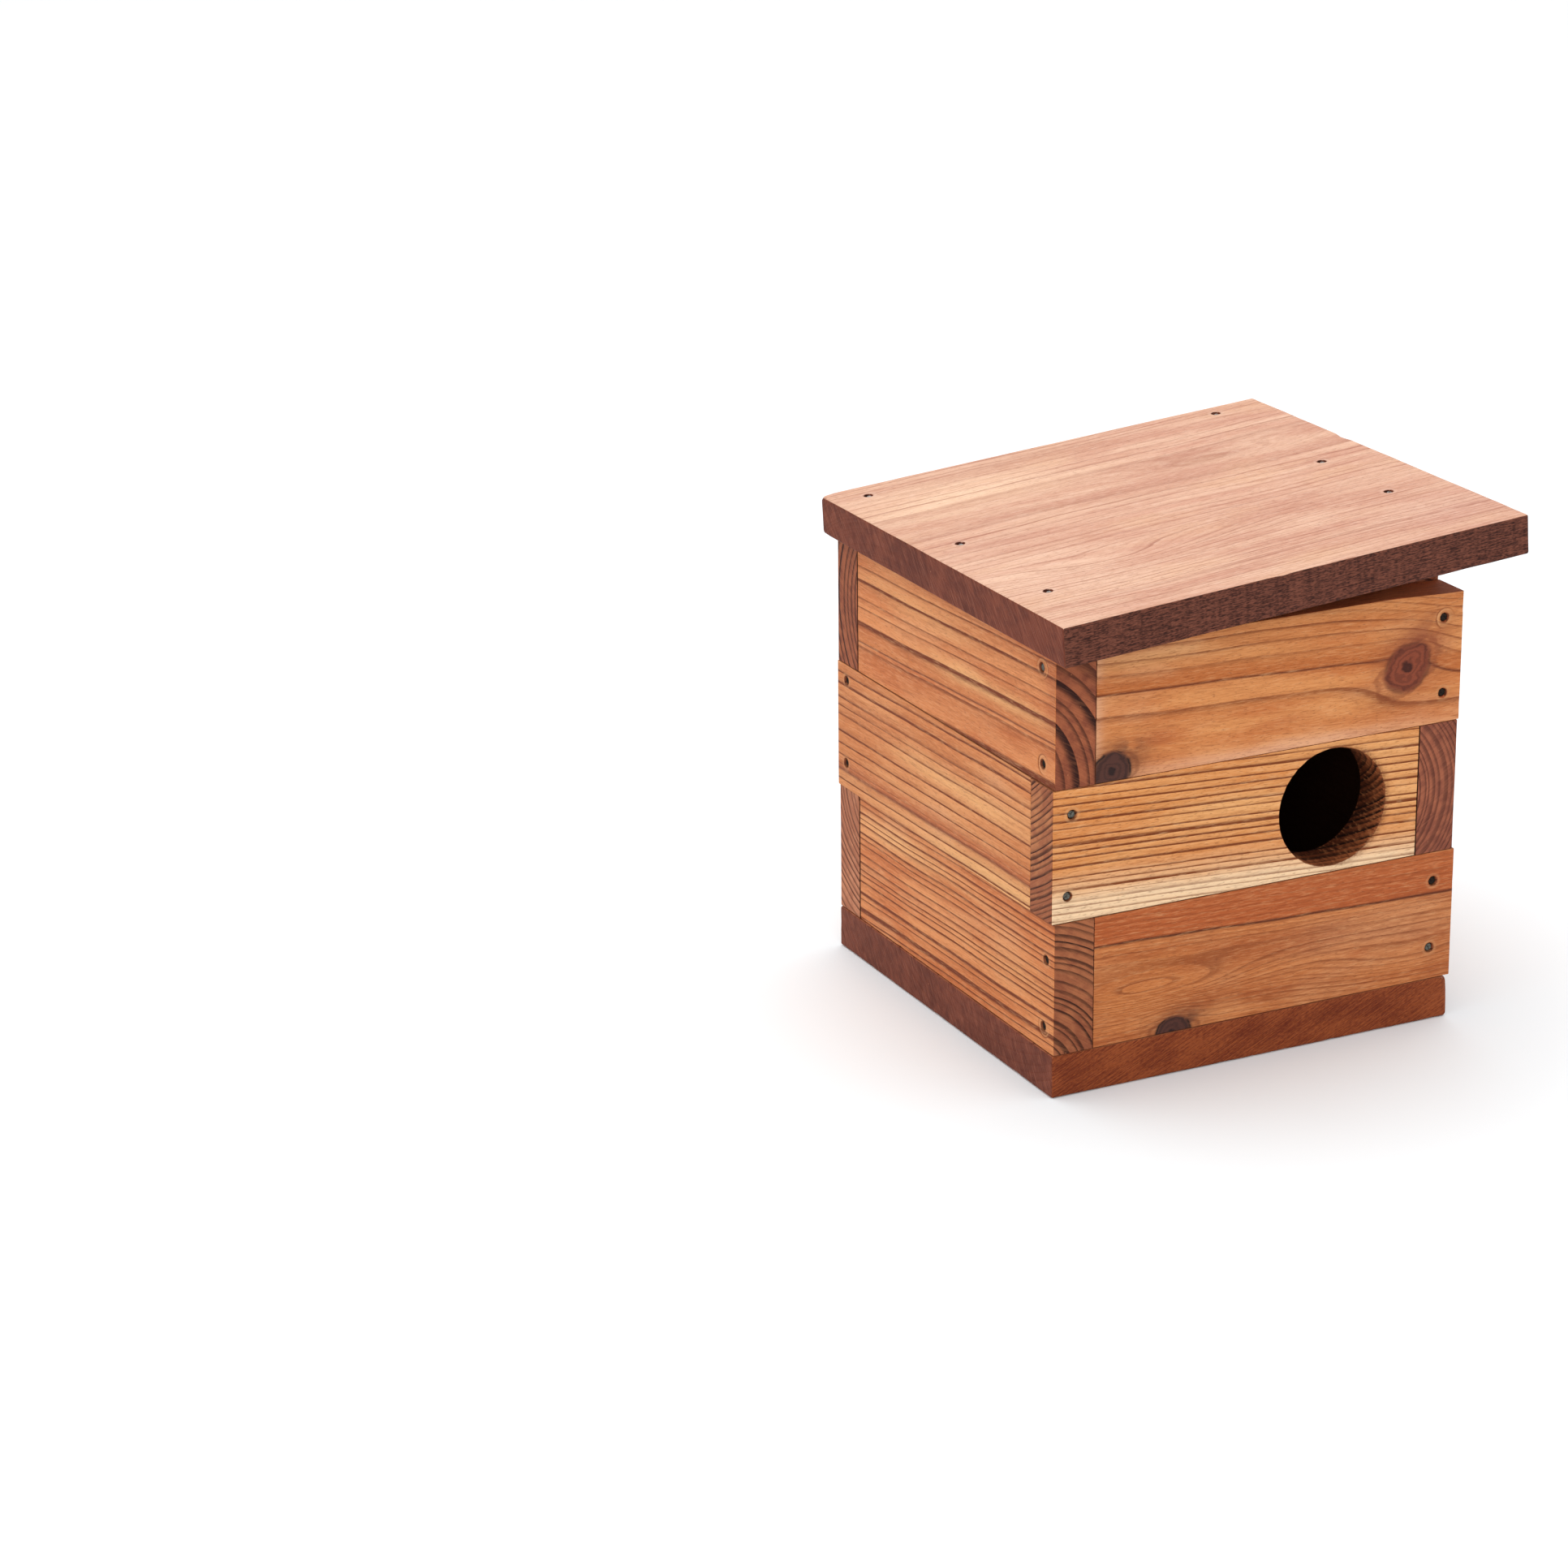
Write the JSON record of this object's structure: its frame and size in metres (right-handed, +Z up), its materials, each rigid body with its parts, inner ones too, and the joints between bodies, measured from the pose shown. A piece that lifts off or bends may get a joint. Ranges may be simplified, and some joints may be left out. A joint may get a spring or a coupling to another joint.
{
  "type": "birdhouse",
  "caption": "Square cedar nesting box of stacked, interlocking butt-jointed boards under a tilted roof board, with a round entrance to one side; the house lifts off its floor for cleaning.",
  "frame": {"origin": "centre of the floor panel's underside, the face the birdhouse stands on", "axes": "+Z up, the entrance faces -Y, +X to the right as seen from the front, so the roof rises towards +X"},
  "size_m": [0.2236, 0.2185, 0.2292],
  "materials": {
    "cedar_orange": "clear-oiled cedar, orange-tan with dark latewood lines and knots",
    "cedar_yellow": "clear-oiled cedar, yellow-orange with straight dark latewood lines and a pale sapwood edge",
    "cedar_red": "clear-oiled cedar, reddish heartwood",
    "cedar_roof": "clear-oiled cedar, salmon to red-brown, rough-sawn dark edges",
    "cedar_floor": "clear-oiled cedar, dark red-brown",
    "nail_steel": "dull finishing nail",
    "screw_zinc": "zinc-plated wood screw"
  },
  "bodies": {
    "base": {"floor_panel": "cedar_floor", "floor_screw_front_left": "screw_zinc", "floor_screw_front_right": "screw_zinc", "floor_screw_rear_left": "screw_zinc", "floor_screw_rear_right": "screw_zinc"},
    "house": {"front_board_bottom": "cedar_red", "right_board_bottom": "cedar_red", "back_board_bottom": "cedar_red", "left_board_bottom": "cedar_red", "front_board_middle": "cedar_yellow", "right_board_middle": "cedar_yellow", "back_board_middle": "cedar_yellow", "left_board_middle": "cedar_yellow", "front_board_top": "cedar_orange", "right_board_top": "cedar_orange", "back_board_top": "cedar_orange", "left_board_top": "cedar_orange", "nail_front_bottom_upper": "nail_steel", "nail_front_bottom_lower": "nail_steel", "nail_right_bottom_upper": "nail_steel", "nail_right_bottom_lower": "nail_steel", "nail_back_bottom_upper": "nail_steel", "nail_back_bottom_lower": "nail_steel", "nail_left_bottom_upper": "nail_steel", "nail_left_bottom_lower": "nail_steel", "nail_front_middle_upper": "nail_steel", "nail_front_middle_lower": "nail_steel", "nail_right_middle_upper": "nail_steel", "nail_right_middle_lower": "nail_steel", "nail_back_middle_upper": "nail_steel", "nail_back_middle_lower": "nail_steel", "nail_left_middle_upper": "nail_steel", "nail_left_middle_lower": "nail_steel", "nail_front_top_upper": "nail_steel", "nail_front_top_lower": "nail_steel", "nail_right_top_upper": "nail_steel", "nail_right_top_lower": "nail_steel", "nail_back_top_upper": "nail_steel", "nail_back_top_lower": "nail_steel", "nail_left_top_upper": "nail_steel", "nail_left_top_lower": "nail_steel", "roof_panel": "cedar_roof", "roof_nail_left_front": "nail_steel", "roof_nail_left_middle": "nail_steel", "roof_nail_left_rear": "nail_steel", "roof_nail_right_front": "nail_steel", "roof_nail_right_middle": "nail_steel", "roof_nail_right_rear": "nail_steel"}
  },
  "joints": [
    {"name": "house_lift", "type": "slide", "parent": "base", "child": "house", "axis": [0, 0, 1], "range_m": [0, 0.08]}
  ]
}
